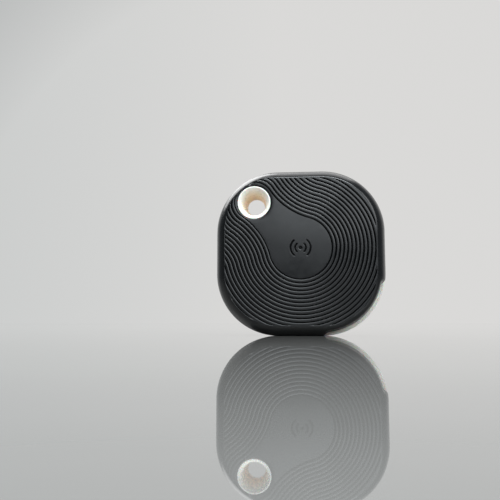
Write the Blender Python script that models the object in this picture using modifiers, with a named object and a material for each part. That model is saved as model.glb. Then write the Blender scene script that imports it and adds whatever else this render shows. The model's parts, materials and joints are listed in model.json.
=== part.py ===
"""A coin-cell Bluetooth tracker tag: a rounded square that stands on its lower edge, press face forward.

+X is to the right as the press face is seen, +Y runs from the press face to the back, and +Z is up. The
origin is on the surface that the tag stands on, under the middle of its box. Places on the face are given
as (across, up) from the middle of the outline, and places through the tag as a depth behind the crown of
the press face.
"""

import math

import bmesh
import bpy
from mathutils import Vector

MM = 0.001

# Outline: nearly a square, with round corners
WIDTH = 36.0 * MM
HEIGHT = 35.4 * MM
CORNER_RADIUS = 13.3 * MM
THICKNESS = 9.8 * MM
CORNER_STEPS = 9

# Press face, and the soft rim that runs from it to the side
CROWN_DROP = 0.6 * MM  # the face is this much lower at its edge than in the middle
CROWN_POWER = 2.4
FACE_INSET = 2.1 * MM  # from the widest outline in to the edge of the face
RIM_BACK = 4.6 * MM  # the depth of the widest outline, in front of the middle of mass, so the tag can stand
RIM_POWER = 1.5  # 2 would make the rim's section a quarter of an ellipse, and less a flatter, drafted side
SKIN_WALL = 0.95 * MM
SKIN_BACK = 6.2 * MM
SEAM = 0.15 * MM

# Nail recess in the lower right corner, for pulling the back cover off
RECESS = 0.78 * MM
RECESS_INNER = 0.6 * MM
RECESS_FRAME = 0.45 * MM
RECESS_POWER = 0.4

# The button's middle lies a little above the outline's, and the keyring hole about diagonally from it
BUTTON_ACROSS, BUTTON_UP = 0.15 * MM, 0.6 * MM
EYELET_ACROSS, EYELET_UP = -9.58 * MM, 10.35 * MM
EYELET_LIP_RADIUS = 3.5 * MM
EYELET_MOUTH_RADIUS = 3.2 * MM
EYELET_THROAT_RADIUS = 1.9 * MM
EYELET_SHANK_RADIUS = 3.25 * MM
SOCKET_RADIUS = 4.05 * MM

# Depths through the tag
FACE_BACK = 1.35 * MM
PLATE_FRONT, PLATE_BACK = 1.45 * MM, 2.15 * MM
NUB_BACK = 2.7 * MM
FRAME_FRONT, FRAME_BACK = 1.98 * MM, 8.5 * MM
LEDGE_FRONT, LEDGE_BACK = 3.4 * MM, 4.2 * MM
BOARD_FRONT, BOARD_BACK = 4.3 * MM, 4.9 * MM
CELL_FRONT, CELL_BACK = 5.3 * MM, 8.5 * MM
COVER_FRONT, COVER_FLOOR = 6.4 * MM, 8.95 * MM
COVER_BAND_BACK = 8.5 * MM

# Coin cell, 20 mm across and 3.2 mm thick, moved away from the keyring hole
CELL_RADIUS = 10.0 * MM
CELL_ACROSS, CELL_UP = 0.8 * MM, -0.8 * MM
HOLDER_INNER, HOLDER_OUTER = 10.25 * MM, 11.0 * MM

GAP = 0.1 * MM
CLEAR = 0.15 * MM
CUT_PAST = 1.0 * MM  # how far a cutter runs past what it cuts
ROUND_STEPS = 32
MERGE = 0.00001

COLOURS = {  # name: (colour, roughness, metallic)
    "black_elastomer": ((0.022, 0.023, 0.025), 0.48, 0.0),
    "ivory_plastic": ((0.82, 0.78, 0.69), 0.42, 0.0),
    "black_plastic": ((0.03, 0.03, 0.032), 0.5, 0.0),
    "board_green": ((0.03, 0.17, 0.09), 0.4, 0.0),
    "spring_steel": ((0.70, 0.69, 0.66), 0.28, 1.0),
    "cell_steel": ((0.62, 0.62, 0.63), 0.3, 1.0),
    "brass": ((0.78, 0.60, 0.28), 0.3, 1.0),
    "nylon": ((0.12, 0.12, 0.13), 0.5, 0.0),
    "silicone": ((0.25, 0.25, 0.26), 0.6, 0.0),
    "ceramic": ((0.85, 0.83, 0.78), 0.5, 0.0),
    "capacitor_tan": ((0.55, 0.42, 0.28), 0.45, 0.0),
    "led_clear": ((0.9, 0.88, 0.7), 0.2, 0.0),
}


def reset_scene():
    for obj in list(bpy.data.objects):
        bpy.data.objects.remove(obj)
    made = {}
    for name in ("bluetooth_tracker_tag", "cutters"):
        made[name] = bpy.data.collections.new(name)
        bpy.context.scene.collection.children.link(made[name])
    return made["bluetooth_tracker_tag"], made["cutters"]


def material(name):
    found = bpy.data.materials.get(name)
    if found:
        return found
    colour, roughness, metallic = COLOURS[name]
    new = bpy.data.materials.new(name)
    new.use_nodes = True
    shader = new.node_tree.nodes["Principled BSDF"]
    shader.inputs["Base Color"].default_value = (*colour, 1.0)
    shader.inputs["Roughness"].default_value = roughness
    shader.inputs["Metallic"].default_value = metallic
    new.diffuse_color = (*colour, 1.0)
    return new


def place(across, up, depth):
    """The point at that place on the face and that depth, in the tag's own frame."""
    return Vector((across, depth - THICKNESS / 2, HEIGHT / 2 + up))


def outline(inset, recess=0.0):
    """The rounded square that far inside the widest outline, as (across, up) points, anticlockwise.
    recess draws the lower right corner in by that much more at its middle."""
    reach_across, reach_up = WIDTH / 2 - CORNER_RADIUS, HEIGHT / 2 - CORNER_RADIUS
    points = []
    for corner in range(4):
        side_across = 1 if corner in (0, 3) else -1
        side_up = 1 if corner in (0, 1) else -1
        for step in range(CORNER_STEPS + 1):
            share = step / CORNER_STEPS
            drawn_in = 0.0
            if corner == 3 and 0 < share < 1:
                drawn_in = recess * math.sin(math.pi * share) ** RECESS_POWER
            radius = CORNER_RADIUS - inset - drawn_in
            angle = math.radians(90 * (corner + share))
            across = reach_across * side_across + radius * math.cos(angle)
            points.append((across, reach_up * side_up + radius * math.sin(angle)))
    return points


def loop(inset, depth, recess=0.0, scale=1.0):
    return [place(across * scale, up * scale, depth) for across, up in outline(inset, recess)]


def finish(obj, colour, smooth_angle=35):
    obj.data.materials.append(material(colour))
    obj.data.shade_smooth()
    obj.data.set_sharp_from_angle(angle=math.radians(smooth_angle))
    return obj


def loft(name, loops, colour, ring=False):
    """Joins unlike sections with equal numbers of points. A ring's last section meets its first, and any
    other loft is closed by a flat face at each end."""
    shape = bmesh.new()
    rows = [[shape.verts.new(point) for point in row] for row in loops]
    pairs = list(zip(rows, rows[1:]))
    if ring:
        pairs.append((rows[-1], rows[0]))
    else:
        shape.faces.new(rows[0])
        shape.faces.new(rows[-1])
    for first, second in pairs:
        for i in range(len(first)):
            j = (i + 1) % len(first)
            shape.faces.new((first[i], first[j], second[j], second[i]))
    bmesh.ops.recalc_face_normals(shape, faces=shape.faces)
    mesh = bpy.data.meshes.new(name)
    shape.to_mesh(mesh)
    shape.free()
    obj = bpy.data.objects.new(name, mesh)
    PARTS.objects.link(obj)
    return finish(obj, colour)


def turned(name, profile, across, up, colour, steps=ROUND_STEPS):
    """A Screw round an axis that runs through the tag. The profile holds (radius, depth) points: along
    the outer side from back to front, and back along the inner side or, on a solid, from axis to axis."""
    solid = profile[0][0] == 0
    mesh = bpy.data.meshes.new(name)
    edges = [(i, i + 1) for i in range(len(profile) - 1)]
    if not solid:
        edges.append((len(profile) - 1, 0))
    mesh.from_pydata([(radius, 0, depth) for radius, depth in profile], edges, [])
    obj = bpy.data.objects.new(name, mesh)
    obj.location = place(across, up, 0)
    obj.rotation_euler = (-math.pi / 2, 0, 0)
    PARTS.objects.link(obj)
    screw = obj.modifiers.new("turn", "SCREW")
    screw.steps = screw.render_steps = steps
    screw.use_merge_vertices = True
    screw.merge_threshold = MERGE
    screw.use_smooth_shade = False
    obj.data.materials.append(material(colour))
    return obj


def box(name, middle, size, colour, bevel=0.0, turn=0.0):
    """A box with its middle at (across, up, depth), its size in that order, and a turn about its depth."""
    bpy.ops.mesh.primitive_cube_add(size=1, location=place(*middle))
    obj = bpy.context.object
    obj.name = obj.data.name = name
    obj.scale = (size[0], size[2], size[1])
    bpy.ops.object.transform_apply(location=False, rotation=False, scale=True)
    obj.rotation_euler = (0, -turn, 0)
    for holder in obj.users_collection:
        holder.objects.unlink(obj)
    PARTS.objects.link(obj)
    if bevel:
        edges = obj.modifiers.new("edges", "BEVEL")
        edges.width = bevel
        edges.segments = 1
    obj.data.materials.append(material(colour))
    return obj


def rod(name, across, up, front, back, radius, colour, steps=ROUND_STEPS):
    return turned(name, [(0, back), (radius, back), (radius, front), (0, front)], across, up, colour, steps)


def flat(name, splines, front, back, colour):
    """A flat outline, with any holes as further splines, cut from a sheet between two depths."""
    curve = bpy.data.curves.new(name, "CURVE")
    curve.dimensions = "2D"
    curve.fill_mode = "BOTH"
    curve.extrude = (back - front) / 2
    for points in splines:
        spline = curve.splines.new("POLY")
        spline.points.add(len(points) - 1)
        for point, (across, up) in zip(spline.points, points):
            point.co = (across, up, 0, 1)
        spline.use_cyclic_u = True
    obj = bpy.data.objects.new(name, curve)
    obj.location = place(0, 0, (front + back) / 2)
    obj.rotation_euler = (math.pi / 2, 0, 0)
    PARTS.objects.link(obj)
    obj.data.materials.append(material(colour))
    return as_mesh(obj)


def as_mesh(obj):
    """The same object with its evaluated shape as a plain mesh, so that it can be cut or joined."""
    bpy.context.view_layer.update()
    evaluated = obj.evaluated_get(bpy.context.evaluated_depsgraph_get())
    mesh = bpy.data.meshes.new_from_object(evaluated)
    shape = bmesh.new()
    shape.from_mesh(mesh)
    bmesh.ops.remove_doubles(shape, verts=shape.verts, dist=MERGE)
    shape.to_mesh(mesh)
    shape.free()
    name = obj.name
    new = bpy.data.objects.new(name, mesh)
    new.matrix_world = obj.matrix_world.copy()
    PARTS.objects.link(new)
    bpy.data.objects.remove(obj)
    new.name = name
    return new


def combine(obj, other, operation):
    change = obj.modifiers.new(operation.lower(), "BOOLEAN")
    change.operation = operation
    change.solver = "EXACT"
    change.object = other
    for holder in other.users_collection:
        holder.objects.unlink(other)
    CUTTERS.objects.link(other)
    other.hide_render = True
    other.display_type = "WIRE"
    return obj


def cut(obj, cutter):
    return combine(obj, cutter, "DIFFERENCE")


def join(obj, piece):
    return combine(obj, piece, "UNION")


def eyelet_hole(obj, radius):
    """Cuts a round hole for the keyring eyelet through the whole thickness of obj."""
    past = THICKNESS + CUT_PAST
    name = obj.name + "_eyelet_cutter"
    return cut(obj, rod(name, EYELET_ACROSS, EYELET_UP, -CUT_PAST, past, radius, "black_plastic"))


# ---- the shell -----------------------------------------------------------------------------------


def shoulder(front, back, depth):
    """Falls from 1 at the front to 0 at the back, fast at first, as the rim's section does."""
    left = 1 - min(1.0, (depth - front) / (back - front))
    return 1 - (1 - left**RIM_POWER) ** (1 / RIM_POWER)


def skin_section(recess_share):
    """The rim's section as (inset, depth) points: back along its outer side, and forward along its inner."""
    rows = 9
    outer = []
    widest = RECESS * recess_share
    for i in range(rows):
        depth = CROWN_DROP + (RIM_BACK - CROWN_DROP) * (1 - math.cos(math.pi / 2 * i / (rows - 1)))
        outer.append((widest + (FACE_INSET - widest) * shoulder(CROWN_DROP, RIM_BACK, depth), depth))
    outer.append((widest, SKIN_BACK))
    inner = []
    inner_front = CROWN_DROP + SKIN_WALL
    widest = SKIN_WALL + RECESS_INNER * recess_share
    for depth in (SKIN_BACK, 5.0 * MM, 3.6 * MM, 2.6 * MM, 1.9 * MM, inner_front):
        inner.append((widest + (FACE_INSET - widest) * shoulder(inner_front, RIM_BACK, depth), depth))
    return outer + inner


def cover_skin():
    """The soft side and rim. Its section changes along the recessed corner, so each row blends two."""
    plain, recessed = skin_section(0.0), skin_section(1.0)
    loops = []
    for (inset, depth), (deeper_inset, _) in zip(plain, recessed):
        loops.append(loop(inset, depth, deeper_inset - inset))
    return eyelet_hole(loft("cover_skin", loops, "black_elastomer", ring=True), EYELET_LIP_RADIUS + CLEAR)


def crown_loops(inset, rings):
    """Loops over the domed face, from near its middle to its edge."""
    loops = []
    for i in range(1, rings + 1):
        share = i / rings
        loops.append(loop(inset, CROWN_DROP * share**CROWN_POWER, scale=share))
    return loops


def press_face():
    inset = FACE_INSET + SEAM
    loops = crown_loops(inset, 6)
    loops.append(loop(inset, FACE_BACK))
    return eyelet_hole(loft("press_face", loops, "black_elastomer"), EYELET_LIP_RADIUS + CLEAR)


def guide_pins():
    """Places of the press plate's three guide pins, as (across, up, angle of the frame's ear in degrees)."""
    reach = 13.6 * MM
    return [(reach, 0.0, 0), (0.0, -13.3 * MM, 270), (-reach, 0.0, 180)]


def button_plate():
    """The stiff plate under the press face, with a nub over the switch and three guide pins."""
    plate = flat("button_plate", [outline(3.2 * MM, RECESS_FRAME)], PLATE_FRONT, PLATE_BACK, "ivory_plastic")
    eyelet_hole(plate, EYELET_LIP_RADIUS + 2 * CLEAR)
    overlap = PLATE_BACK - 0.3 * MM
    join(plate, rod("press_nub", BUTTON_ACROSS, BUTTON_UP, overlap, NUB_BACK, 1.5 * MM, "ivory_plastic"))
    for number, (across, up, _) in enumerate(guide_pins()):
        join(plate, rod(f"guide_pin_{number}", across, up, overlap, 3.7 * MM, 0.5 * MM, "ivory_plastic", 16))
    return plate


def inner_frame():
    """The stiff wall that carries everything: board ledge, socket for the eyelet and guides for the pins."""
    section = [  # (inset, depth, share of the frame's recess)
        (2.02 * MM, FRAME_FRONT, 1.0),
        (1.82 * MM, 2.35 * MM, 1.0),
        (1.48 * MM, 3.3 * MM, 1.0),
        (1.2 * MM, 4.5 * MM, 1.0),
        (1.12 * MM, FRAME_BACK, 1.0),
        (2.05 * MM, FRAME_BACK, 0.6),
        (2.05 * MM, LEDGE_BACK, 0.6),
        (3.3 * MM, LEDGE_BACK, 0.3),
        (3.3 * MM, LEDGE_FRONT, 0.3),
        (2.95 * MM, LEDGE_FRONT, 0.3),
        (2.95 * MM, FRAME_FRONT, 0.3),
    ]
    loops = [loop(inset, depth, RECESS_INNER * share) for inset, depth, share in section]
    frame = loft("inner_frame", loops, "ivory_plastic", ring=True)
    for number, (across, up, turn) in enumerate(guide_pins()):
        middle = (across, up, (LEDGE_FRONT + LEDGE_BACK) / 2)
        size = (2.6 * MM, 2.6 * MM, LEDGE_BACK - LEDGE_FRONT - GAP)
        join(frame, box(f"pin_ear_{number}", middle, size, "ivory_plastic", turn=math.radians(turn)))
        cut(frame, rod(f"pin_hole_{number}", across, up, 3.0 * MM, 4.6 * MM, 0.65 * MM, "ivory_plastic", 16))
    ends = (3.0 * MM, 8.4 * MM)
    join(frame, rod("eyelet_socket", EYELET_ACROSS, EYELET_UP, *ends, SOCKET_RADIUS, "ivory_plastic"))
    way = [
        (0, THICKNESS),
        (EYELET_SHANK_RADIUS + GAP, THICKNESS),
        (EYELET_SHANK_RADIUS + GAP, 2.95 * MM),
        (EYELET_LIP_RADIUS + CLEAR, 2.95 * MM),
        (EYELET_LIP_RADIUS + CLEAR, 0),
        (0, 0),
    ]
    cut(frame, turned("eyelet_way", way, EYELET_ACROSS, EYELET_UP, "ivory_plastic"))
    return frame


def keyring_eyelet():
    """The pale funnel that a keyring passes through, pressed into the frame's socket."""
    profile = [
        (EYELET_SHANK_RADIUS - 0.2 * MM, 8.85 * MM),
        (EYELET_SHANK_RADIUS, 8.6 * MM),
        (EYELET_SHANK_RADIUS, 2.85 * MM),
        (EYELET_LIP_RADIUS, 2.85 * MM),
        (EYELET_LIP_RADIUS, 0.55 * MM),
        (EYELET_LIP_RADIUS - 0.05 * MM, 0.4 * MM),
        (EYELET_LIP_RADIUS - 0.17 * MM, 0.34 * MM),
        (EYELET_MOUTH_RADIUS, 0.44 * MM),
        (EYELET_MOUTH_RADIUS - 0.12 * MM, 0.7 * MM),
        (EYELET_THROAT_RADIUS + 0.1 * MM, 6.6 * MM),
        (EYELET_THROAT_RADIUS, 7.2 * MM),
        (EYELET_THROAT_RADIUS + 0.1 * MM, 7.8 * MM),
        (2.3 * MM, 8.85 * MM),
    ]
    return turned("keyring_eyelet", profile, EYELET_ACROSS, EYELET_UP, "ivory_plastic", 40)


def rear_cover():
    """The back cover, with a skirt that reaches forward over the frame as far as the soft skin."""
    turn_radius = THICKNESS - COVER_BAND_BACK
    rows = [(1.0 * MM, COVER_FLOOR, RECESS_INNER), (1.0 * MM, COVER_FRONT, RECESS_INNER)]
    rows += [(0.1 * MM, COVER_FRONT, 0.0), (0.0, COVER_FRONT + GAP, 0.0)]
    for step in range(6):
        angle = math.pi / 2 * step / 5
        inset = turn_radius * (1 - math.cos(angle))
        rows.append((inset, COVER_BAND_BACK + turn_radius * math.sin(angle), 0.0))
    loops = [loop(inset, depth, recess) for inset, depth, recess in rows]
    cover = loft("rear_cover", loops, "ivory_plastic")
    mouth = turned(
        "rear_mouth_cutter",
        [
            (0, THICKNESS + CUT_PAST),
            (4.2 * MM, THICKNESS + CUT_PAST),
            (3.2 * MM, THICKNESS - 0.02 * MM),
            (2.45 * MM, COVER_FLOOR - 0.02 * MM),
            (2.45 * MM, COVER_FLOOR - CUT_PAST),
            (0, COVER_FLOOR - CUT_PAST),
        ],
        EYELET_ACROSS,
        EYELET_UP,
        "ivory_plastic",
    )
    return cut(cover, mouth)


def rear_gasket():
    """The seal between the frame's back edge and the back cover."""
    front, back = FRAME_BACK + 0.05 * MM, COVER_FLOOR - 0.05 * MM
    middle = (front + back) / 2
    section = [(1.35, front), (1.25, middle), (1.35, back), (1.85, back), (1.95, middle), (1.85, front)]
    loops = [loop(inset * MM, depth, 0.9 * RECESS_INNER) for inset, depth in section]
    return loft("rear_gasket", loops, "silicone", ring=True)


def eyelet_seal():
    """A small O-ring round the eyelet's tail, between the socket and the back cover."""
    bpy.ops.mesh.primitive_torus_add(
        major_radius=3.45 * MM,
        minor_radius=0.17 * MM,
        major_segments=24,
        minor_segments=6,
        location=place(EYELET_ACROSS, EYELET_UP, 8.68 * MM),
        rotation=(math.pi / 2, 0, 0),
    )
    obj = bpy.context.object
    obj.name = obj.data.name = "eyelet_seal"
    for holder in obj.users_collection:
        holder.objects.unlink(obj)
    PARTS.objects.link(obj)
    obj.data.materials.append(material("silicone"))
    return obj


# ---- the power supply ----------------------------------------------------------------------------


def battery_holder():
    """A ring that holds the cell on the back of the board, with ribs to the frame and lips over the cell."""
    wall_back = 8.55 * MM
    profile = [
        (HOLDER_OUTER, wall_back),
        (HOLDER_OUTER, BOARD_BACK + GAP),
        (9.3 * MM, BOARD_BACK + GAP),
        (9.3 * MM, BOARD_BACK + 0.3 * MM),
        (HOLDER_INNER, BOARD_BACK + 0.3 * MM),
        (HOLDER_INNER, wall_back),
    ]
    holder = as_mesh(turned("battery_holder", profile, CELL_ACROSS, CELL_UP, "black_plastic", 40))
    for number, (angle_deg, tip) in enumerate(((45, 17.2), (225, 17.2), (315, 15.6))):
        angle = math.radians(angle_deg)
        inner_end, outer_end = 10.6 * MM, tip * MM
        middle, length = (inner_end + outer_end) / 2, outer_end - inner_end
        place_across = CELL_ACROSS + middle * math.cos(angle)
        place_up = CELL_UP + middle * math.sin(angle)
        rib_middle = (place_across, place_up, 5.8 * MM)
        rib_size = (length, 1.4 * MM, 1.4 * MM)
        join(holder, box(f"holder_rib_{number}", rib_middle, rib_size, "black_plastic", turn=angle))
    for number, side in enumerate((1, -1)):
        post = (CELL_ACROSS, CELL_UP + side * 10.72 * MM, 8.5 * MM)
        join(holder, box(f"lip_post_{number}", post, (4.0 * MM, 0.5 * MM, 0.6 * MM), "black_plastic"))
        hook = (CELL_ACROSS, CELL_UP + side * 10.2 * MM, 8.71 * MM)
        join(holder, box(f"lip_hook_{number}", hook, (3.9 * MM, 1.4 * MM, 0.22 * MM), "black_plastic"))
    gap_middle = (CELL_ACROSS + 10.4 * MM, CELL_UP, 7.0 * MM)
    cut(holder, box("clip_gap", gap_middle, (3.0 * MM, 4.8 * MM, 6.0 * MM), "black_plastic"))
    return eyelet_hole(holder, SOCKET_RADIUS + 2 * GAP)


def coin_cell():
    """The cell's can, its seal and its cap, which stands for the contents too."""
    wall = 0.25 * MM
    can = [
        (0, CELL_BACK),
        (CELL_RADIUS - 0.2 * MM, CELL_BACK),
        (CELL_RADIUS, CELL_BACK - 0.2 * MM),
        (CELL_RADIUS, CELL_FRONT + 0.55 * MM),
        (CELL_RADIUS - 0.25 * MM, CELL_FRONT + 0.3 * MM),
        (CELL_RADIUS - 0.5 * MM, CELL_FRONT + 0.3 * MM),
        (CELL_RADIUS - wall, CELL_FRONT + 0.6 * MM),
        (CELL_RADIUS - wall, CELL_BACK - wall),
        (0, CELL_BACK - wall),
    ]
    turned("cell_can", can, CELL_ACROSS, CELL_UP, "cell_steel", 40)
    seal = [
        (9.65 * MM, CELL_BACK - wall - GAP),
        (9.65 * MM, CELL_FRONT + 0.65 * MM),
        (9.4 * MM, CELL_FRONT + 0.2 * MM),
        (9.1 * MM, CELL_FRONT + 0.2 * MM),
        (9.1 * MM, CELL_BACK - wall - GAP),
    ]
    turned("cell_seal", seal, CELL_ACROSS, CELL_UP, "nylon", 40)
    cap = [
        (0, CELL_BACK - wall - GAP),
        (9.0 * MM, CELL_BACK - wall - GAP),
        (9.0 * MM, CELL_FRONT + 0.45 * MM),
        (8.4 * MM, CELL_FRONT + 0.35 * MM),
        (8.1 * MM, CELL_FRONT),
        (0, CELL_FRONT),
    ]
    turned("cell_cap", cap, CELL_ACROSS, CELL_UP, "cell_steel", 40)


def strip(name, middle_line, thickness, width, across, up, colour):
    """A bent strip of sheet metal. Its middle line is (across, depth) points, and its width runs upright."""
    mesh = bpy.data.meshes.new(name)
    points = [(x, depth, side * width / 2) for x, depth in middle_line for side in (-1, 1)]
    faces = [(2 * i, 2 * i + 1, 2 * i + 3, 2 * i + 2) for i in range(len(middle_line) - 1)]
    mesh.from_pydata(points, [], faces)
    obj = bpy.data.objects.new(name, mesh)
    obj.location = place(across, up, 0)
    PARTS.objects.link(obj)
    sheet = obj.modifiers.new("sheet", "SOLIDIFY")
    sheet.thickness = thickness
    sheet.offset = 0
    sheet.use_even_offset = True
    obj.data.materials.append(material(colour))
    return obj


def contacts():
    """The clip that grips the can from the side and the back, and the leaf that presses on the cap."""
    side = 10.55 * MM
    clip = [
        (13.2 * MM, BOARD_BACK + 0.14 * MM),
        (side + 0.4 * MM, BOARD_BACK + 0.14 * MM),
        (side, BOARD_BACK + 0.55 * MM),
        (side, CELL_BACK),
        (side - 0.3 * MM, CELL_BACK + 0.28 * MM),
        (8.4 * MM, CELL_BACK + 0.28 * MM),
        (6.9 * MM, CELL_BACK + 0.16 * MM),
        (6.1 * MM, CELL_BACK + 0.28 * MM),
    ]
    strip("positive_contact", clip, 0.14 * MM, 4.0 * MM, CELL_ACROSS, CELL_UP, "spring_steel")
    leaf = [
        (-4.6 * MM, 5.03 * MM),
        (-3.2 * MM, 5.03 * MM),
        (-1.6 * MM, 5.17 * MM),
        (0, 5.2 * MM),
        (1.6 * MM, 5.17 * MM),
        (3.2 * MM, 5.03 * MM),
        (4.6 * MM, 5.03 * MM),
    ]
    strip("negative_contact", leaf, 0.1 * MM, 3.0 * MM, CELL_ACROSS, CELL_UP, "spring_steel")


# ---- the board -----------------------------------------------------------------------------------


def main_board():
    board = flat("main_board", [outline(2.3 * MM, RECESS_FRAME)], BOARD_FRONT, BOARD_BACK, "board_green")
    return eyelet_hole(board, SOCKET_RADIUS + 2 * GAP)


def tact_switch():
    """The switch under the nub: base, dome, plunger, cover plate and four terminals."""
    base_front, base_back = 3.4 * MM, BOARD_FRONT - 0.05 * MM
    side = 4.5 * MM
    base_middle = (BUTTON_ACROSS, BUTTON_UP, (base_front + base_back) / 2)
    base = box("switch_base", base_middle, (side, side, base_back - base_front), "black_plastic")
    well_back = base_back - GAP
    cut(base, rod("switch_well", BUTTON_ACROSS, BUTTON_UP, 2.0 * MM, well_back, 1.75 * MM, "black_plastic"))
    plate_front, plate_back = 3.15 * MM, 3.32 * MM
    plate_middle = (BUTTON_ACROSS, BUTTON_UP, (plate_front + plate_back) / 2)
    plate = box("switch_cover", plate_middle, (side, side, plate_back - plate_front), "spring_steel")
    cut(plate, rod("plunger_hole", BUTTON_ACROSS, BUTTON_UP, 2.0 * MM, 4.0 * MM, 1.25 * MM, "black_plastic"))
    plunger = [
        (0, 3.58 * MM),
        (1.5 * MM, 3.58 * MM),
        (1.5 * MM, 3.42 * MM),
        (1.1 * MM, 3.42 * MM),
        (1.1 * MM, 2.9 * MM),
        (1.0 * MM, 2.8 * MM),
        (0, 2.8 * MM),
    ]
    turned("switch_plunger", plunger, BUTTON_ACROSS, BUTTON_UP, "black_plastic")
    dome = [
        (0, 3.74 * MM),
        (0.6 * MM, 3.79 * MM),
        (1.1 * MM, 3.9 * MM),
        (1.5 * MM, 4.11 * MM),
        (1.6 * MM, 4.08 * MM),
        (1.1 * MM, 3.82 * MM),
        (0.6 * MM, 3.71 * MM),
        (0, 3.66 * MM),
    ]
    turned("switch_dome", dome, BUTTON_ACROSS, BUTTON_UP, "spring_steel")
    number = 1
    for across in (-1, 1):
        for up in (-1, 1):
            middle = (BUTTON_ACROSS + across * 2.75 * MM, BUTTON_UP + up * 1.5 * MM, 4.18 * MM)
            box(f"switch_terminal_{number}", middle, (0.8 * MM, 0.7 * MM, 0.14 * MM), "spring_steel")
            number += 1


def buzzer():
    """A square sounder with its brass diaphragm seen through a round window."""
    middle_across, middle_up = -7.0 * MM, -7.2 * MM
    front, back = 2.8 * MM, BOARD_FRONT - 0.05 * MM
    middle = (middle_across, middle_up, (front + back) / 2)
    case = box("buzzer_case", middle, (8.5 * MM, 8.5 * MM, back - front), "black_plastic", bevel=0.25 * MM)
    cut(case, rod("buzzer_window", middle_across, middle_up, 2.0 * MM, 3.9 * MM, 3.6 * MM, "black_plastic"))
    rod("buzzer_diaphragm", middle_across, middle_up, 3.3 * MM, 3.45 * MM, 3.5 * MM, "brass")


def board_parts():
    """Everything small that is soldered to the front of the board."""
    seat = BOARD_FRONT - 0.05 * MM
    parts = [  # (name, across, up, width, height, thickness, colour), in millimetres
        ("radio_chip", 6.6, -2.4, 5.0, 5.0, 0.85, "black_plastic"),
        ("main_crystal", 6.6, 2.4, 2.0, 1.6, 0.5, "cell_steel"),
        ("slow_crystal", 1.6, -6.4, 3.2, 1.5, 0.75, "cell_steel"),
        ("chip_antenna", 4.0, 12.9, 7.0, 2.0, 1.1, "ceramic"),
        ("status_led", -5.2, 6.2, 1.6, 1.0, 0.7, "led_clear"),
        ("power_inductor", 6.6, -7.2, 2.0, 1.6, 1.0, "black_plastic"),
    ]
    chips = [(10.3, 4.6), (10.3, 3.2), (2.6, 8.2), (4.6, 8.2), (10.4, -4.2), (2.2, -9.4)]
    parts += [(f"capacitor_{n}", a, u, 1.0, 0.5, 0.5, "capacitor_tan") for n, (a, u) in enumerate(chips, 1)]
    chips = [(0.4, 8.2), (4.2, -9.4), (10.4, -2.6), (10.4, -5.8)]
    parts += [(f"resistor_{n}", a, u, 1.0, 0.5, 0.35, "black_plastic") for n, (a, u) in enumerate(chips, 1)]
    for name, across, up, width, height, thickness, colour in parts:
        middle = (across * MM, up * MM, seat - thickness * MM / 2)
        box(name, middle, (width * MM, height * MM, thickness * MM), colour, bevel=0.05 * MM)


PARTS, CUTTERS = reset_scene()
cover_skin()
press_face()
button_plate()
inner_frame()
keyring_eyelet()
rear_cover()
rear_gasket()
eyelet_seal()
battery_holder()
coin_cell()
contacts()
main_board()
tact_switch()
buzzer()
board_parts()
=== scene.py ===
"""The looks of a Bluetooth tracker tag: one ribbed rubber skin, its eyelet, back cover and working parts.

Every length is in metres. A place on the face is (across, up) from the middle of the outline, and a depth is
measured back from the crown of the press face, as in the CAD. The tag stands on its lower edge.
"""

import json
import math

import bpy
import bmesh
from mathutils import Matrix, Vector
from mathutils.geometry import delaunay_2d_cdt


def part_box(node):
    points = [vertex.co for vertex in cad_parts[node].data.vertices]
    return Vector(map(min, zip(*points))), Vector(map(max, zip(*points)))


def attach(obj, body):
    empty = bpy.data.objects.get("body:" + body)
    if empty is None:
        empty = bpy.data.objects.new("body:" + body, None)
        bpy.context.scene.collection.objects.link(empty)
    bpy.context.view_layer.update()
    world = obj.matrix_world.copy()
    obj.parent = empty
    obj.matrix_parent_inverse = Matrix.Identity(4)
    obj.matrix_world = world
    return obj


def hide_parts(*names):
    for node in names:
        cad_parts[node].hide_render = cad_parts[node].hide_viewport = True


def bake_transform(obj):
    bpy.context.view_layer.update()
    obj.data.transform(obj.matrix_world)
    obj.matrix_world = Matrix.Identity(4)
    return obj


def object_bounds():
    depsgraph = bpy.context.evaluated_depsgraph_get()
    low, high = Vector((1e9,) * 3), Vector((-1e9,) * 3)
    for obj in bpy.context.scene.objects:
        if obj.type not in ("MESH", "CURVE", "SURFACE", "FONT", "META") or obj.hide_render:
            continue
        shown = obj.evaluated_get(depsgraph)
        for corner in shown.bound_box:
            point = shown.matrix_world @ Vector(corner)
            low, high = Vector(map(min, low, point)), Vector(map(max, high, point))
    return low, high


MM = 0.001
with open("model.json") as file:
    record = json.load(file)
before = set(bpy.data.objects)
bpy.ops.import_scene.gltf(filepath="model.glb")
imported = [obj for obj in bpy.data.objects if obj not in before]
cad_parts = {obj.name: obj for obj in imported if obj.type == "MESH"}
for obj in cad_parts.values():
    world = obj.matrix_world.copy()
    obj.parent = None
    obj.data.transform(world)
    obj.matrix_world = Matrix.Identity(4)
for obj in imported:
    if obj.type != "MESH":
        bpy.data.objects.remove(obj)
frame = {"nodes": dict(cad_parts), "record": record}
CAD_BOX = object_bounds()

# ---- sizes, read from the frame where it has them ------------------------------------------------

LOW, HIGH = (Vector(corner) for corner in CAD_BOX)
WIDTH, HEIGHT = HIGH.x - LOW.x, HIGH.z - LOW.z
MIDDLE = HEIGHT / 2
FRONT_Y = LOW.y
EYELET_LOW, EYELET_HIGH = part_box("keyring_eyelet")


def middle_of(node):
    """The middle of a CAD node on the face, as (across, up)."""
    low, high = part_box(node)
    return Vector(((low.x + high.x) / 2, (low.z + high.z) / 2 - MIDDLE))


EYELET = middle_of("keyring_eyelet")
BUTTON = middle_of("switch_plunger")
LIP_RADIUS = (EYELET_HIGH.x - EYELET_LOW.x) / 2
SKIN_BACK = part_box("cover_skin")[1].y - FRONT_Y

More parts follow.
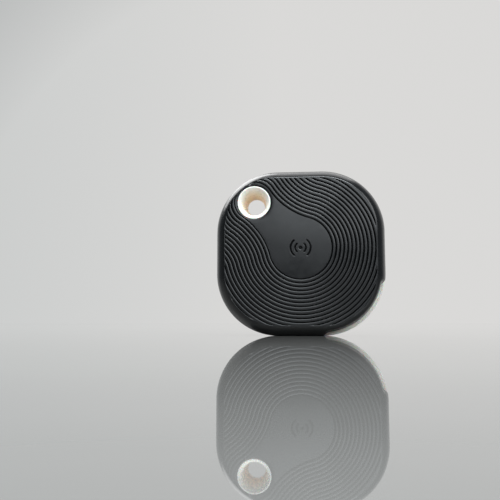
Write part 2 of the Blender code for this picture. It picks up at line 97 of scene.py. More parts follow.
CORNER_RADIUS = 13.3 * MM
REACH = Vector((WIDTH / 2 - CORNER_RADIUS, HEIGHT / 2 - CORNER_RADIUS))  # to the centre of a corner's arc
FACE_INSET = 2.1 * MM  # from the widest outline in to the edge of the ribbed face
EYELET_WIDENING = 0.65 * MM  # the ribbed face reaches that much further out beside the eyelet
WIDENING_NEAR, WIDENING_FAR = 4.5 * MM, 7.5 * MM  # from the eyelet's axis, fully widened and not at all
RIM_BACK = 4.6 * MM  # the depth where the rim reaches the widest outline
RIM_POWER = 1.5
SKIN_WALL = 0.95 * MM
CROWN_DROP = 0.6 * MM
CROWN_POWER = 2.4
EDGE_SLOPE = CROWN_POWER * CROWN_DROP / (WIDTH / 2 - FACE_INSET)  # how steep the face is at its edge

# The ribs follow contours of a disc and a ring round the eyelet, joined by two concave fillets
RING_CENTRE = EYELET + Vector((-0.1, 0.38)) * MM
DISC_RADIUS = 6.56 * MM
RING_RADIUS = 4.1 * MM
FILLET_RADIUS = 14.85 * MM
PITCH = 0.817 * MM
GROOVE_WIDTH = 0.25 * MM
GROOVE_DEPTH = 0.38 * MM
RIB_CROWN = 0.07 * MM

RECESS = 0.78 * MM  # the nail recess in the lower right corner draws the side in this far
RECESS_INNER = 0.6 * MM  # and the wall behind the back cover's front this far
RECESS_RIGHT_END = (6.0, 12.5)  # its ramps, in degrees round the corner from the right side to the bottom
RECESS_LOWER_END = (84.5, 90.0)
HOLE_GAP = 0.16 * MM  # between the eyelet's lip and the round edge of the skin's hole
HOLE_WALL_GAP = 0.06 * MM  # between the lip and the hole's wall
LINER_DEPTH = 1.5 * MM  # the back of the press face's rubber


def place(across, up, depth):
    return Vector((across, FRONT_Y + depth, MIDDLE + up))


def smooth(low, high, value):
    share = min(1.0, max(0.0, (value - low) / (high - low)))
    return share * share * (3 - 2 * share)


# ---- the outline ---------------------------------------------------------------------------------


def from_corner(across, up):
    """How far a place lies beyond the centre of its corner's arc, across and up."""
    return Vector((abs(across) - REACH.x, abs(up) - REACH.y))


def outline_distance(across, up):
    """How far inside the widest outline a place is."""
    beyond = from_corner(across, up)
    if min(beyond) > 0:
        return CORNER_RADIUS - beyond.length
    return CORNER_RADIUS - max(beyond)


def outline_normal(across, up):
    """The outward direction of the rounded square through a place."""
    beyond = from_corner(across, up)
    if min(beyond) <= 0:
        beyond = Vector((1.0, 0.0)) if beyond.x > beyond.y else Vector((0.0, 1.0))
    beyond.normalize()
    return Vector((math.copysign(beyond.x, across), math.copysign(beyond.y, up)))


def plain_inset(_place):
    return FACE_INSET


def face_inset(place_on_face):
    """How far inside the outline the face ends there: less beside the eyelet, which needs the room."""
    away = (place_on_face - EYELET).length
    return FACE_INSET - EYELET_WIDENING * smooth(WIDENING_FAR, WIDENING_NEAR, away)


def outline_ray(start, direction, inset_at):
    """How far along a direction from start the rounded square is, drawn in by what inset_at gives there."""
    near, far = 0.0, WIDTH
    for _ in range(40):
        middle = (near + far) / 2
        point = start + direction * middle
        if outline_distance(*point) > inset_at(point):
            near = middle
        else:
            far = middle
    return near


def recess_share(across, up):
    """1 in the nail recess and 0 outside it, with a short ramp at each end."""
    if across < REACH.x or up > -REACH.y:
        return 0.0
    turn = math.degrees(math.atan2(-up - REACH.y, across - REACH.x))
    return smooth(*RECESS_RIGHT_END, turn) * (1 - smooth(*RECESS_LOWER_END, turn))


# ---- the pattern on the face ---------------------------------------------------------------------

SPREAD = (RING_CENTRE - BUTTON).length
AXIS = (RING_CENTRE - BUTTON) / SPREAD  # from the middle of the disc to the ring's
ACROSS_AXIS = Vector((-AXIS.y, AXIS.x))
DISC_REACH, RING_REACH = DISC_RADIUS + FILLET_RADIUS, RING_RADIUS + FILLET_RADIUS
FILLET_ALONG = (DISC_REACH**2 - RING_REACH**2 + SPREAD**2) / (2 * SPREAD)
FILLET_ASIDE = math.sqrt(DISC_REACH**2 - FILLET_ALONG**2)


def contour_lines():
    """The start and the outward direction of each line across the ribs, once round the first contour."""
    disc_turn = math.atan2(FILLET_ASIDE, FILLET_ALONG)
    ring_turn = math.atan2(FILLET_ASIDE, FILLET_ALONG - SPREAD)
    lines = []

    def add(along, aside, turn):
        start = BUTTON + AXIS * along + ACROSS_AXIS * aside
        lines.append((start, AXIS * math.cos(turn) + ACROSS_AXIS * math.sin(turn)))

    def arc(centre_along, centre_aside, radius, first, last, steps, side=1):
        for i in range(steps):
            turn = first + (last - first) * i / steps
            along = centre_along + radius * math.cos(turn)
            aside = centre_aside + radius * math.sin(turn)
            add(along, aside, turn if side > 0 else turn + math.pi)

    arc(0, 0, DISC_RADIUS, disc_turn, 2 * math.pi - disc_turn, 330)
    fillet_first, fillet_last = math.pi - disc_turn, math.pi - ring_turn
    arc(FILLET_ALONG, -FILLET_ASIDE, FILLET_RADIUS, fillet_first, fillet_last, 46, side=-1)
    arc(SPREAD, 0, RING_RADIUS, -ring_turn, ring_turn, 60)
    arc(FILLET_ALONG, FILLET_ASIDE, FILLET_RADIUS, ring_turn - math.pi, disc_turn - math.pi, 46, side=-1)
    return lines


def groove_section(share):
    """How deep a groove is at that share of its half width from its middle, against its full depth."""
    return (0.5 + 0.5 * math.cos(math.pi * min(1.0, share))) ** 0.8


def groove_profile(out):
    """How deep the surface lies that far out from the first contour: narrow grooves between round ribs."""
    half = GROOVE_WIDTH / 2
    if out < 0:
        return (GROOVE_DEPTH + RIB_CROWN) * groove_section(-out / half)
    beside = abs((out / PITCH + 0.5) % 1.0 - 0.5) * PITCH
    if beside < half:
        return GROOVE_DEPTH * groove_section(beside / half) + RIB_CROWN
    from_crest = 1 - min(1.0, (beside - half) / (PITCH / 2 - half))
    return RIB_CROWN * from_crest**3


def crown(across, up):
    """The dome of the face: its depth without ribs."""
    distance = math.hypot(across, up)
    if distance < 1e-6:
        return 0.0
    inset = outline_distance(across, up)
    if inset < FACE_INSET:
        return rim_depth(inset)
    edge = outline_ray(Vector((0, 0)), Vector((across, up)) / distance, plain_inset)
    return CROWN_DROP * min(1.0, distance / edge) ** CROWN_POWER


def collar(across, up):
    """The skin dips a little to meet the eyelet's lip."""
    away = (Vector((across, up)) - EYELET).length - LIP_RADIUS
    return smooth(0.6 * MM, 0.0, away) * 0.06 * MM


# ---- a small mark in the middle: a dot between two pairs of arcs ---------------------------------

MARK_DEPTH = 0.36 * MM
MARK_RADIUS = 2.6 * MM
MARK_ARCS = (1.12 * MM, 2.08 * MM)
MARK_LINE = 0.19 * MM  # half the width of an arc's groove
MARK_DOT = 0.45 * MM
MARK_SPREAD = math.radians(48)


def mark_depth(across, up):
    """How deep the mark is cut at a place, with (across, up) from the middle of the button."""
    away = math.hypot(across, up)
    share = away / MARK_DOT
    for radius in MARK_ARCS:
        end = radius * math.cos(MARK_SPREAD), radius * math.sin(MARK_SPREAD)
        aside = abs(away - radius)
        if math.atan2(abs(up), abs(across)) > MARK_SPREAD:
            aside = math.hypot(abs(across) - end[0], abs(up) - end[1])
        share = min(share, aside / MARK_LINE)
    return MARK_DEPTH * groove_section(share)


# ---- mesh helpers --------------------------------------------------------------------------------


def stitch(shape, first, second):
    """Faces between two closed rows with the same number of points. A point in both rows gives triangles."""
    for i in range(len(first)):
        j = (i + 1) % len(first)
        corners = []
        for vert in (first[i], first[j], second[j], second[i]):
            if vert not in corners:
                corners.append(vert)
        if len(corners) > 2:
            shape.faces.new(corners)


def fill(shape, loops, spacing, holes, depth_at, margin):
    """Fills the flat region inside the first loop and outside the others with even triangles.
    holes are (centre, radius) pairs, and depth_at gives the depth of the new points."""
    points, verts, edges = [], [], []
    for loop in loops:
        base = len(points)
        for vert in loop:
            points.append(Vector((vert.co.x, vert.co.z - MIDDLE)))
            verts.append(vert)
        edges += [(base + i, base + (i + 1) % len(loop)) for i in range(len(loop))]
    outer = [Vector(point) for point in points[: len(loops[0])]]
    low = [min(point[k] for point in outer) for k in (0, 1)]
    high = [max(point[k] for point in outer) for k in (0, 1)]
    rows = int((high[1] - low[1]) / (spacing * 0.866)) + 1
    columns = int((high[0] - low[0]) / spacing) + 2
    for row in range(rows):
        for column in range(columns):
            across = low[0] + spacing * (column + 0.5 * (row % 2))
            up = low[1] + spacing * 0.866 * row
            point = Vector((across, up))
            clear = all((point - centre).length > radius + margin for centre, radius in holes)
            if clear and min((point - other).length for other in outer) > margin and inside(point, outer):
                points.append(point)
                verts.append(shape.verts.new(place(across, up, depth_at(across, up))))
    flat_points, _, faces, origins, _, _ = delaunay_2d_cdt(points, edges, [], 0, 1e-9)
    owner = [verts[origin[0]] if origin else None for origin in origins]
    for face in faces:
        middle = sum((flat_points[i] for i in face), Vector((0, 0))) / len(face)
        if any((middle - centre).length < radius for centre, radius in holes) or not inside(middle, outer):
            continue
        shape.faces.new([owner[i] for i in face])


def inside(point, polygon):
    """Whether a point lies inside a closed polygon."""
    found = False
    last = polygon[-1]
    for corner in polygon:
        if (corner.y > point.y) != (last.y > point.y):
            cross = (last.x - corner.x) * (point.y - corner.y) / (last.y - corner.y) + corner.x
            if point.x < cross:
                found = not found
        last = corner
    return found


def to_object(name, shape, smooth_angle=40):
    """A smooth object from the shape, with edges sharper than that many degrees kept sharp."""
    bmesh.ops.recalc_face_normals(shape, faces=shape.faces)
    mesh = bpy.data.meshes.new(name)
    shape.to_mesh(mesh)
    shape.free()
    mesh.shade_smooth()
    mesh.set_sharp_from_angle(angle=math.radians(smooth_angle))
    obj = bpy.data.objects.new(name, mesh)
    bpy.context.scene.collection.objects.link(obj)
    return obj


def ring_row(shape, centre, radius, depth, count):
    """A new round row of points."""
    row = []
    for i in range(count):
        turn = 2 * math.pi * i / count
        across, up = centre[0] + radius * math.cos(turn), centre[1] + radius * math.sin(turn)
        row.append(shape.verts.new(place(across, up, depth)))
    return row


def turned(name, centre, profile, count=144):
    """A turned piece from a closed profile of (radius, depth) points. A radius of 0 gives one point."""
    shape = bmesh.new()
    rows = []
    for radius, depth in profile:
        if radius == 0:
            rows.append([shape.verts.new(place(*centre, depth))] * count)
        else:
            rows.append(ring_row(shape, centre, radius, depth, count))
    for first, second in zip(rows, rows[1:] + rows[:1]):
        stitch(shape, first, second)
    return to_object(name, shape)


def rounded(points, radius, steps=4):
    """A closed profile with round corners. A point may give its own radius: (a, b, radius)."""
    result = []
    count = len(points)
    for i, point in enumerate(points):
        here = Vector(point[:2])
        before = Vector(points[i - 1][:2]) - here
        after = Vector(points[(i + 1) % count][:2]) - here
        own = point[2] if len(point) > 2 else radius
        cut = min(own, before.length * 0.45, after.length * 0.45)
        if cut < 1e-7 or point[0] == 0:
            result.append(tuple(here))
            continue
        first, last = here + before.normalized() * cut, here + after.normalized() * cut
        for step in range(steps + 1):
            share = step / steps
            middle = first.lerp(here, share).lerp(here.lerp(last, share), share)
            result.append(tuple(middle))
    return result


# ---- the skin ------------------------------------------------------------------------------------


def face_depth(across, up, out):
    """The depth of the face, where out is the distance out from the first contour, or negative inside it."""
    depth = crown(across, up) + collar(across, up)
    if out is None:
        return depth
    from_edge = outline_distance(across, up) - face_inset(Vector((across, up)))
    fade = smooth(0.02 * MM, 0.2 * MM, from_edge)
    near_lip = (Vector((across, up)) - EYELET).length - LIP_RADIUS
    return depth + groove_profile(out) * fade * smooth(0.16 * MM, 0.5 * MM, near_lip)


def shoulder(front, back, depth):
    """Falls from 1 at the front to 0 at the back, fast at first, as the rim's section does."""
    left = 1 - min(1.0, (depth - front) / (back - front))
    return 1 - (1 - left**RIM_POWER) ** (1 / RIM_POWER)


def rim_depth(inset):
    """The depth of the rim at that inset from the widest outline. It undoes shoulder(), and starts at the
    slope at which the face ends."""
    share = min(1.0, inset / FACE_INSET)
    drop = (1 - share) ** RIM_POWER
    depth = RIM_BACK - (RIM_BACK - CROWN_DROP) * (1 - drop) ** (1 / RIM_POWER)
    return depth + EDGE_SLOPE * share * (FACE_INSET - inset)


def rim_section(edge_inset):
    """(inset, depth) from the edge of the face over the shoulder to the back edge, and forward inside."""
    steps = 24
    rows = []
    for i in range(1, steps + 1):
        depth = CROWN_DROP + (RIM_BACK - CROWN_DROP) * (i / steps) ** 2
        inset = edge_inset * shoulder(CROWN_DROP, RIM_BACK, depth)
        rows.append((inset, rim_depth(inset)))
    edge = SKIN_BACK - 0.12 * MM
    rows += [(0.0, edge), (0.03 * MM, edge + 0.08 * MM), (0.12 * MM, SKIN_BACK)]
    rows.append((SKIN_WALL - 0.06 * MM, SKIN_BACK))
    front = CROWN_DROP + SKIN_WALL
    for depth in (5.6 * MM, 4.4 * MM, 3.6 * MM, 2.8 * MM, 2.2 * MM, 1.8 * MM, 1.62 * MM, front):
        rows.append((SKIN_WALL + (edge_inset - SKIN_WALL) * shoulder(front, RIM_BACK, depth), depth))
    return rows


def rim_point(start, start_inset, inset, depth):
    """A point of the rim, drawn in where the nail recess is."""
    normal = outline_normal(start.x, start.y)
    share = recess_share(start.x, start.y)
    drawn = RECESS * share * smooth(0.4 * MM, 2.8 * MM, depth - CROWN_DROP)
    across, up = start + normal * (start_inset - inset - drawn)
    return place(across, up, depth)


def ribbed_skin():
    lines = contour_lines()
    shape = bmesh.new()
    per_row = [0.0, 0.05, 0.1, 0.15, 0.19, 0.26, 0.38, 0.62, 0.74, 0.81, 0.85, 0.9, 0.95]
    ends = [outline_ray(start, direction, face_inset) for start, direction in lines]
    edge_verts = []
    for (start, direction), end in zip(lines, ends):
        across, up = start + direction * end
        edge_verts.append(shape.verts.new(place(across, up, face_depth(across, up, end))))
    rows = []
    most = int(max(ends) / PITCH) + 1
    outs = [part * PITCH for part in (-0.2, -0.15, -0.1, -0.05)]
    outs += [(rib + part) * PITCH for rib in range(most) for part in per_row]
    for out in outs:
        row = []
        for i, (start, direction) in enumerate(lines):
            if out >= ends[i] - 0.03 * MM:
                row.append(edge_verts[i])
                continue
            across, up = start + direction * out
            row.append(shape.verts.new(place(across, up, face_depth(across, up, out))))
        rows.append(row)
    rows.append(edge_verts)
    for first, second in zip(rows, rows[1:]):
        stitch(shape, first, second)
    # the smooth field inside the first contour, with the mark and the eyelet's hole
    count = 160
    hole = ring_row(shape, EYELET, LIP_RADIUS + HOLE_GAP, 0.0, count)
    for vert in hole:
        vert.co.y = FRONT_Y + face_depth(vert.co.x, vert.co.z - MIDDLE, None)
    mark_edge = mark_region(shape, 128)
    holes = [(BUTTON, MARK_RADIUS), (EYELET, LIP_RADIUS + HOLE_GAP)]
    fill(shape, [rows[0], mark_edge, hole], 0.5 * MM, holes, lambda a, u: face_depth(a, u, None), 0.22 * MM)
    # the rolled edge of the hole, and its wall
    wall = [hole]
    for radius, drop in ((0.11, 0.02), (0.07, 0.07), (0.06, 0.2), (0.06, 1.0)):
        row = [shape.verts.new(vert.co) for vert in hole]
        for i, vert in enumerate(row):
            turn = 2 * math.pi * i / count
            reach = LIP_RADIUS + radius * MM
            vert.co.x = EYELET[0] + reach * math.cos(turn)
            vert.co.z = MIDDLE + EYELET[1] + reach * math.sin(turn)
            vert.co.y = hole[i].co.y + drop * MM if drop < 1 else FRONT_Y + LINER_DEPTH
        wall.append(row)
    for first, second in zip(wall, wall[1:]):
        stitch(shape, first, second)
    # the rim, its back edge and its inner side
    starts = [Vector((vert.co.x, vert.co.z - MIDDLE)) for vert in edge_verts]
    insets = [outline_distance(*start) for start in starts]
    sections = [rim_section(inset) for inset in insets]
    last = edge_verts
    for points in zip(*sections):
        row = [shape.verts.new(rim_point(*start, *point)) for *start, point in zip(starts, insets, points)]
        stitch(shape, last, row)
        last = row
    # the flat back of the press face
    holes = [(EYELET, LIP_RADIUS + HOLE_WALL_GAP)]
    fill(shape, [last, wall[-1]], 2.5 * MM, holes, lambda a, u: LINER_DEPTH, 1.0 * MM)
    return to_object("ribbed_skin", shape, 60)


def mark_region(shape, count):
    """The disc that holds the mark. Returns its outer row."""
    steps = [0.0]
    radius = 0.0
    while radius < MARK_RADIUS - 0.03 * MM:
        radius += 0.05 * MM
        steps.append(radius)
    rows = [[shape.verts.new(place(*BUTTON, mark_depth(0, 0)))] * count]
    for radius in steps[1:]:
        row = ring_row(shape, BUTTON, radius, 0.0, count)
        for vert in row:
            across, up = vert.co.x, vert.co.z - MIDDLE
            vert.co.y = FRONT_Y + face_depth(across, up, None) + mark_depth(across - BUTTON.x, up - BUTTON.y)
        rows.append(row)
    for first, second in zip(rows, rows[1:]):
        stitch(shape, first, second)
    return rows[-1]


# ---- materials -----------------------------------------------------------------------------------


def new_material(name, colour, roughness, metallic=0.0, **sockets):
    mat = bpy.data.materials.new(name)
    mat.use_nodes = True
    shader = mat.node_tree.nodes["Principled BSDF"]
    shader.inputs["Base Color"].default_value = (*colour, 1)
    shader.inputs["Roughness"].default_value = roughness
    shader.inputs["Metallic"].default_value = metallic
    for socket, value in sockets.items():
        shader.inputs[socket.replace("_", " ")].default_value = value
    return mat, mat.node_tree, shader


def noise_node(tree, scale, detail=4.0, roughness=0.55, stretch=None):
    coordinates = tree.nodes.new("ShaderNodeTexCoord")
    texture = tree.nodes.new("ShaderNodeTexNoise")
    texture.inputs["Scale"].default_value = scale
    texture.inputs["Detail"].default_value = detail
    texture.inputs["Roughness"].default_value = roughness
    source = coordinates.outputs["Object"]
    if stretch:
        mapping = tree.nodes.new("ShaderNodeMapping")
        mapping.inputs["Scale"].default_value = stretch
        tree.links.new(source, mapping.inputs["Vector"])
        source = mapping.outputs["Vector"]
    tree.links.new(source, texture.inputs["Vector"])
    return texture.outputs["Fac"]


def feed(tree, socket, value):
    """Sets a socket to a number or a colour, or links it to another node's output."""
    if isinstance(value, bpy.types.NodeSocket):
        tree.links.new(value, socket)
    else:
        socket.default_value = value if isinstance(value, (int, float)) else (*value, 1)


def ramp(tree, source, low, high, first, last, shape="LINEAR"):
    """Maps a value from one range to another."""
    node = tree.nodes.new("ShaderNodeMapRange")
    node.interpolation_type = shape
    sockets = ("Value", "From Min", "From Max", "To Min", "To Max")
    for name, value in zip(sockets, (source, low, high, first, last)):
        feed(tree, node.inputs[name], value)
    return node.outputs["Result"]


def tint(tree, source, first, last):
    """Blends two colours by a value from 0 to 1."""
    node = tree.nodes.new("ShaderNodeMix")
    node.data_type = "RGBA"
    for name, value in (("Factor", source), ("A", first), ("B", last)):
        feed(tree, node.inputs[name], value)
    return node.outputs["Result"]


def bump(tree, shader, source, strength, distance):
    node = tree.nodes.new("ShaderNodeBump")
    node.inputs["Strength"].default_value = strength
    node.inputs["Distance"].default_value = distance
    tree.links.new(source, node.inputs["Height"])
    tree.links.new(node.outputs["Normal"], shader.inputs["Normal"])


def rubber():
    mat, tree, shader = new_material("black_rubber", (0.003, 0.0035, 0.004), 0.22, Specular_IOR_Level=0.5)
    blotch = noise_node(tree, 420, 5)
    colour = tint(tree, blotch, (0.002, 0.0022, 0.0026), (0.005, 0.0056, 0.006))
    tree.links.new(colour, shader.inputs["Base Color"])
    tree.links.new(ramp(tree, noise_node(tree, 700, 3), 0.3, 0.7, 0.19, 0.26), shader.inputs["Roughness"])
    bump(tree, shader, noise_node(tree, 9000, 2), 0.015, 0.00002)
    return mat


def moulded(name, first, last, roughness=(0.35, 0.5), grain=6000, depth=0.00002, **sockets):
    mat, tree, shader = new_material(name, first, roughness[0], **sockets)
    tree.links.new(tint(tree, noise_node(tree, 260, 4), first, last), shader.inputs["Base Color"])
    tree.links.new(ramp(tree, noise_node(tree, 1500, 3), 0.3, 0.7, *roughness), shader.inputs["Roughness"])
    bump(tree, shader, noise_node(tree, grain, 2), 0.3, depth)
    return mat


def metal(name, first, last, roughness=(0.2, 0.38), stretch=(1, 1, 30)):
    mat, tree, shader = new_material(name, first, roughness[0], 1.0)
    tree.links.new(tint(tree, noise_node(tree, 300, 4), first, last), shader.inputs["Base Color"])
    brushed = noise_node(tree, 900, 4, stretch=stretch)
    tree.links.new(ramp(tree, brushed, 0.3, 0.7, *roughness), shader.inputs["Roughness"])
    bump(tree, shader, brushed, 0.15, 0.00001)
    return mat


def painted_shade_eyelet_plastic():
    """Ivory plastic with painted shade: painted warmer and darker with depth, standing in for the light that
    bounces about in the funnel.
    """
    mat, tree, shader = new_material(
        "eyelet_ivory_painted_shade", (0.85, 0.82, 0.75), 0.3, Subsurface_Weight=0.15, Subsurface_Scale=0.0008
    )
    coordinates = tree.nodes.new("ShaderNodeTexCoord")
    axes = tree.nodes.new("ShaderNodeSeparateXYZ")
    tree.links.new(coordinates.outputs["Object"], axes.inputs["Vector"])
    # painted shade and painted bounce light: the funnel's wall is coloured warmer and darker the deeper it
    # lies
    deep = ramp(tree, axes.outputs["Y"], FRONT_Y + 0.9 * MM, FRONT_Y + 4.6 * MM, 0.0, 1.0)
    tree.links.new(tint(tree, deep, (0.92, 0.895, 0.83), (0.91, 0.73, 0.51)), shader.inputs["Base Color"])
    tree.links.new(ramp(tree, noise_node(tree, 1500, 3), 0.3, 0.7, 0.24, 0.38), shader.inputs["Roughness"])
    bump(tree, shader, noise_node(tree, 6000, 2), 0.3, 0.00002)
    return mat


def finishes():
    """The materials of the record's slots."""
    return {
        "black_elastomer": rubber(),
        "ivory_plastic": moulded(
            "ivory_plastic", (0.80, 0.765, 0.69), (0.86, 0.83, 0.76), (0.3, 0.42), Subsurface_Weight=0.25,
            Subsurface_Scale=0.001,
        ),
        "black_plastic": moulded("black_plastic", (0.02, 0.02, 0.021), (0.035, 0.035, 0.037)),
        "board_green": moulded("board_green", (0.012, 0.11, 0.05), (0.02, 0.15, 0.07), (0.25, 0.4), 3500),
        "spring_steel": metal("spring_steel", (0.66, 0.65, 0.62), (0.76, 0.75, 0.72)),
        "cell_steel": metal("cell_steel", (0.62, 0.62, 0.63), (0.72, 0.72, 0.73), stretch=(30, 1, 1)),
        "brass": metal("brass", (0.74, 0.55, 0.22), (0.84, 0.66, 0.34)),
        "nylon": moulded("nylon", (0.05, 0.05, 0.055), (0.08, 0.08, 0.085)),
        "silicone": moulded("silicone", (0.2, 0.2, 0.21), (0.27, 0.27, 0.28), (0.5, 0.65)),
        "ceramic": moulded("ceramic", (0.8, 0.78, 0.72), (0.88, 0.86, 0.8), (0.45, 0.6)),
        "capacitor_tan": moulded("capacitor_tan", (0.48, 0.35, 0.22), (0.58, 0.45, 0.3), (0.4, 0.55)),
        "led_clear": moulded(
            "led_clear", (0.9, 0.88, 0.7), (0.95, 0.93, 0.8), (0.1, 0.2), Transmission_Weight=0.4
        ),
    }


# ---- the hard pieces -----------------------------------------------------------------------------


def keyring_eyelet():
    """The funnel, with round edges at its mouth and throat."""
    tail = EYELET_HIGH.y - FRONT_Y
    profile = [
        (LIP_RADIUS - 0.4 * MM, tail),
        (LIP_RADIUS - 0.2 * MM, tail - 0.25 * MM),
        (LIP_RADIUS - 0.2 * MM, 2.85 * MM),
        (LIP_RADIUS, 2.85 * MM),
        (LIP_RADIUS, 0.36 * MM, 0.12 * MM),
        (LIP_RADIUS - 0.26 * MM, 0.34 * MM, 0.2 * MM),
        (LIP_RADIUS - 0.8 * MM, 1.0 * MM, 0.6 * MM),
        (2.0 * MM, 5.6 * MM, 0.5 * MM),
        (1.9 * MM, 6.5 * MM, 0.3 * MM),
        (1.9 * MM, 7.6 * MM, 0.3 * MM),
        (2.3 * MM, tail, 0.05 * MM),
    ]
    return turned("eyelet_funnel", EYELET, rounded(profile, 0.05 * MM))


def outline_points(per_corner=40, per_side=6):
    """Points once round the widest outline."""
    points = []
    for corner in range(4):
        side = (1 if corner in (0, 3) else -1, 1 if corner in (0, 1) else -1)
        for step in range(per_corner + 1):
            turn = math.radians(90 * (corner + step / per_corner))
            across = REACH.x * side[0] + CORNER_RADIUS * math.cos(turn)
            up = REACH.y * side[1] + CORNER_RADIUS * math.sin(turn)
            points.append(Vector((across, up)))
        start, along = points[-1], Vector((-math.sin(turn), math.cos(turn)))
        straight = 2 * (REACH.x if corner % 2 == 0 else REACH.y)
        for step in range(1, per_side):
            points.append(start + along * (straight * step / per_side))
    return points


def back_shell():
    """The back cover, with a soft edge at the back and a countersunk way for the eyelet."""
    low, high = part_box("rear_cover")
    front, back = low.y - FRONT_Y, high.y - FRONT_Y
    floor = back - 0.85 * MM
    points = outline_points()
    shape = bmesh.new()
    section = [(1.0, floor, 1), (1.0, front + 0.05 * MM, 1), (0.95, front, 1), (0.42, front, 0)]
    section += [(0.39, front + 0.1 * MM, 0), (0.3, front + 0.1 * MM, 0), (0.27, front, 0), (0.12, front, 0)]
    section += [(0.03, front + 0.03 * MM, 0), (0.0, front + 0.12 * MM, 0), (0.0, back - 1.3 * MM, 0)]
    for step in range(1, 13):
        turn = math.pi / 2 * step / 12
        section.append((1.3 * (1 - math.cos(turn)), back - 1.3 * MM * (1 - math.sin(turn)), 0))
    rows = []
    for inset, depth, recessed in section:
        row = []
        for point in points:
            normal = outline_normal(point.x, point.y)
            drawn = RECESS_INNER * recess_share(point.x, point.y) * recessed
            across, up = point - normal * (inset * MM + drawn)
            row.append(shape.verts.new(place(across, up, depth)))
        rows.append(row)
    for first, second in zip(rows, rows[1:]):
        stitch(shape, first, second)
    mouth = [(2.5, floor), (2.5, floor + 0.06 * MM), (2.75, back - 0.3 * MM)]
    mouth += [(3.15, back - 0.06 * MM), (3.35, back)]
    hole_rows = [ring_row(shape, EYELET, radius * MM, depth, 120) for radius, depth in mouth]
    for first, second in zip(hole_rows, hole_rows[1:]):
        stitch(shape, first, second)
    fill(shape, [rows[-1], hole_rows[-1]], 2.2 * MM, [(EYELET, 3.35 * MM)], lambda a, u: back, 0.9 * MM)
    fill(shape, [rows[0], hole_rows[0]], 2.2 * MM, [(EYELET, 2.5 * MM)], lambda a, u: floor, 0.9 * MM)
    return to_object("back_shell", shape)


def coin_cell():
    """The cell's can with a rolled edge and a debossed plus sign, which is the mark of its pole."""
    low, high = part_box("cell_can")
    centre = middle_of("cell_can")
    radius = (high.x - low.x) / 2
    back, front = high.y - FRONT_Y, low.y - FRONT_Y
    count = 160
    shape = bmesh.new()
    rows = [[shape.verts.new(place(*centre, back))] * count]
    reach = 0.0
    while reach < 3.2 * MM:
        reach += 0.1 * MM
        row = ring_row(shape, centre, reach, back, count)
        for vert in row:
            across, up = vert.co.x - centre[0], vert.co.z - MIDDLE - centre[1]
            arm = min(max(abs(across), abs(up) / 0.22), max(abs(up), abs(across) / 0.22))
            vert.co.y -= 0.06 * MM * smooth(2.15 * MM, 1.95 * MM, arm)
        rows.append(row)
    rim = [
        (radius - 0.75 * MM, back),
        (radius - 0.7 * MM, back - 0.02 * MM),
        (radius - 0.62 * MM, back - 0.02 * MM),
        (radius - 0.57 * MM, back),
        (radius - 0.3 * MM, back),
        (radius - 0.08 * MM, back - 0.07 * MM),
        (radius, back - 0.3 * MM),
        (radius, front + 0.3 * MM),
        (radius - 0.1 * MM, front + 0.08 * MM),
        (radius - 0.4 * MM, front),
        (radius - 0.5 * MM, front + 0.05 * MM),
        (radius - 0.25 * MM, front + 0.35 * MM),
        (radius - 0.25 * MM, back - 0.25 * MM),
        (0, back - 0.25 * MM),
    ]
    for reach, depth in rim:
        if reach == 0:
            rows.append([shape.verts.new(place(*centre, depth))] * count)
        else:
            rows.append(ring_row(shape, centre, reach, depth, count))
    for first, second in zip(rows, rows[1:]):
        stitch(shape, first, second)
    return to_object("coin_cell_can", shape)


def snap_dome():
    """The switch's dome, whose middle gives way under the plunger."""
    low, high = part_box("switch_dome")
    front, back = low.y - FRONT_Y, high.y - FRONT_Y
    radius = (high.x - low.x) / 2
    sheet = 0.07 * MM
    rise = back - sheet - front
    steps = 16
    outside = [(radius * i / steps, front + rise * (i / steps) ** 2.2) for i in range(steps + 1)]
    inside_face = [(reach - 0.4 * sheet, depth + sheet) for reach, depth in outside[:0:-1]]
    dome = turned("snap_dome", BUTTON, outside + inside_face + [(0, front + sheet)], 96)
    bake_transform(dome)
    return dome


# ---- stage ---------------------------------------------------------------------------------------

# The room's radiance: a pale wall behind the tag, dim sides, and a window that starts above the camera
ROOM_BEHIND = (0.70, 0.695, 0.685)
ROOM_LEFT = (0.61, 0.62, 0.615)
ROOM_SIDES = (0.12, 0.13, 0.14)
ROOM_WINDOW = (2.75, 2.93, 3.05)


def build_stage():
    """A pale floor with a polished surface, which mirrors the tag and the room at the camera's low angle."""
    shape = bmesh.new()
    reach = 4.0
    corners = [(-reach, -reach), (reach, -reach), (reach, reach), (-reach, reach)]
    shape.faces.new([shape.verts.new((x, y, 0.0)) for x, y in corners])
    floor = to_object("stage_floor", shape)
    mat, _, _ = new_material("stage_pale", (0.22, 0.218, 0.21), 0.012)
    floor.data.materials.append(mat)


def area_light(name, location, target, size, power, colour=(1, 1, 1)):
    light = bpy.data.lights.new(name, "AREA")
    light.shape = "RECTANGLE"
    light.size, light.size_y = size
    light.energy = power
    light.color = colour
    obj = bpy.data.objects.new(name, light)
    obj.location = location
    obj.rotation_euler = (Vector(target) - Vector(location)).to_track_quat("-Z", "Y").to_euler()
    obj.visible_camera = False
    bpy.context.scene.collection.objects.link(obj)


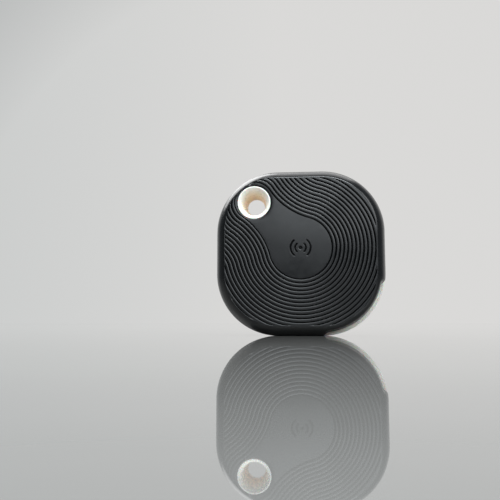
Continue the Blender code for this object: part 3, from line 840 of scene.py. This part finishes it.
def room():
    """A plain pale room, told apart by direction alone: +Y is behind the tag, and -Y behind the camera."""
    world = bpy.data.worlds.new("studio")
    world.use_nodes = True
    tree = world.node_tree
    coordinates = tree.nodes.new("ShaderNodeTexCoord")
    axes = tree.nodes.new("ShaderNodeSeparateXYZ")
    tree.links.new(coordinates.outputs["Generated"], axes.inputs["Vector"])
    x, y, z = (axes.outputs[name] for name in "XYZ")
    colour = tint(tree, ramp(tree, x, -0.05, -0.45, 0.0, 1.0), ROOM_BEHIND, ROOM_LEFT)
    colour = tint(tree, ramp(tree, y, 0.86, 0.55, 0.0, 1.0), colour, ROOM_SIDES)
    window = ramp(tree, z, 0.08, 0.205, 0.0, 1.0, "SMOOTHSTEP")
    window = ramp(tree, x, -0.5, 0.1, 0.0, window, "SMOOTHSTEP")
    window = ramp(tree, y, -0.15, -0.65, 0.0, window, "SMOOTHSTEP")
    colour = tint(tree, window, colour, ROOM_WINDOW)
    tree.links.new(colour, tree.nodes["Background"].inputs["Color"])
    bpy.context.scene.world = world


def lighting():
    room()
    middle = (0, 0, MIDDLE)
    cool = (0.92, 0.97, 1.0)
    area_light("top_panel", (0.0, -0.20, 0.46), middle, (0.5, 0.12), 2.4, cool)
    area_light("rear_panel", (-0.05, 0.26, 0.50), middle, (0.6, 0.4), 1.0)
    area_light("left_window", (-0.22, 0.32, 0.34), middle, (0.34, 0.28), 0.8)
    area_light("right_window", (0.50, -0.22, 0.34), middle, (0.3, 0.3), 0.7)


def camera():
    """Close to the tag and just above the floor, looking slightly up and to the left of it."""
    distance, height, aside = 132 * MM, 2.8 * MM, 2.2 * MM
    focal_px, frame_px = 637.0, 500.0
    data = bpy.data.cameras.new("camera")
    data.sensor_width = 36
    data.lens = data.sensor_width * focal_px / frame_px
    data.clip_start = 0.01
    data.clip_end = 20
    obj = bpy.data.objects.new("camera", data)
    obj.location = (aside, FRONT_Y - distance, height)
    pitch, yaw = math.radians(6.5), math.radians(5.45)
    obj.rotation_euler = (math.pi / 2 + pitch, 0, yaw)
    bpy.context.scene.collection.objects.link(obj)
    bpy.context.scene.camera = obj


def dress_cad_nodes(mats):
    """Each CAD node takes its slot's material."""
    slots = {part["node"]: part["material_slot"] for part in frame["record"]["subparts"]}
    for name, obj in frame["nodes"].items():
        obj.data.materials.clear()
        obj.data.materials.append(mats[slots[name]])


def main():
    mats = finishes()
    dress_cad_nodes(mats)
    skin = ribbed_skin()
    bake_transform(skin)
    for piece, nodes, body, slot, mat in (
        (skin, ("press_face", "cover_skin"), None, "black_elastomer", mats["black_elastomer"]),
        (snap_dome(), ("switch_dome",), None, "spring_steel", mats["spring_steel"]),
        (keyring_eyelet(), ("keyring_eyelet",), "root", "ivory_plastic", painted_shade_eyelet_plastic()),
        (back_shell(), ("rear_cover",), "back", "ivory_plastic", mats["ivory_plastic"]),
        (coin_cell(), ("cell_can",), "root", "cell_steel", mats["cell_steel"]),
    ):
        piece.data.materials.append(mat)
        if body:
            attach(piece, body)
        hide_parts(*nodes)
    build_stage()
    lighting()
    camera()
    bpy.context.scene.view_settings.view_transform = "Standard"


main()
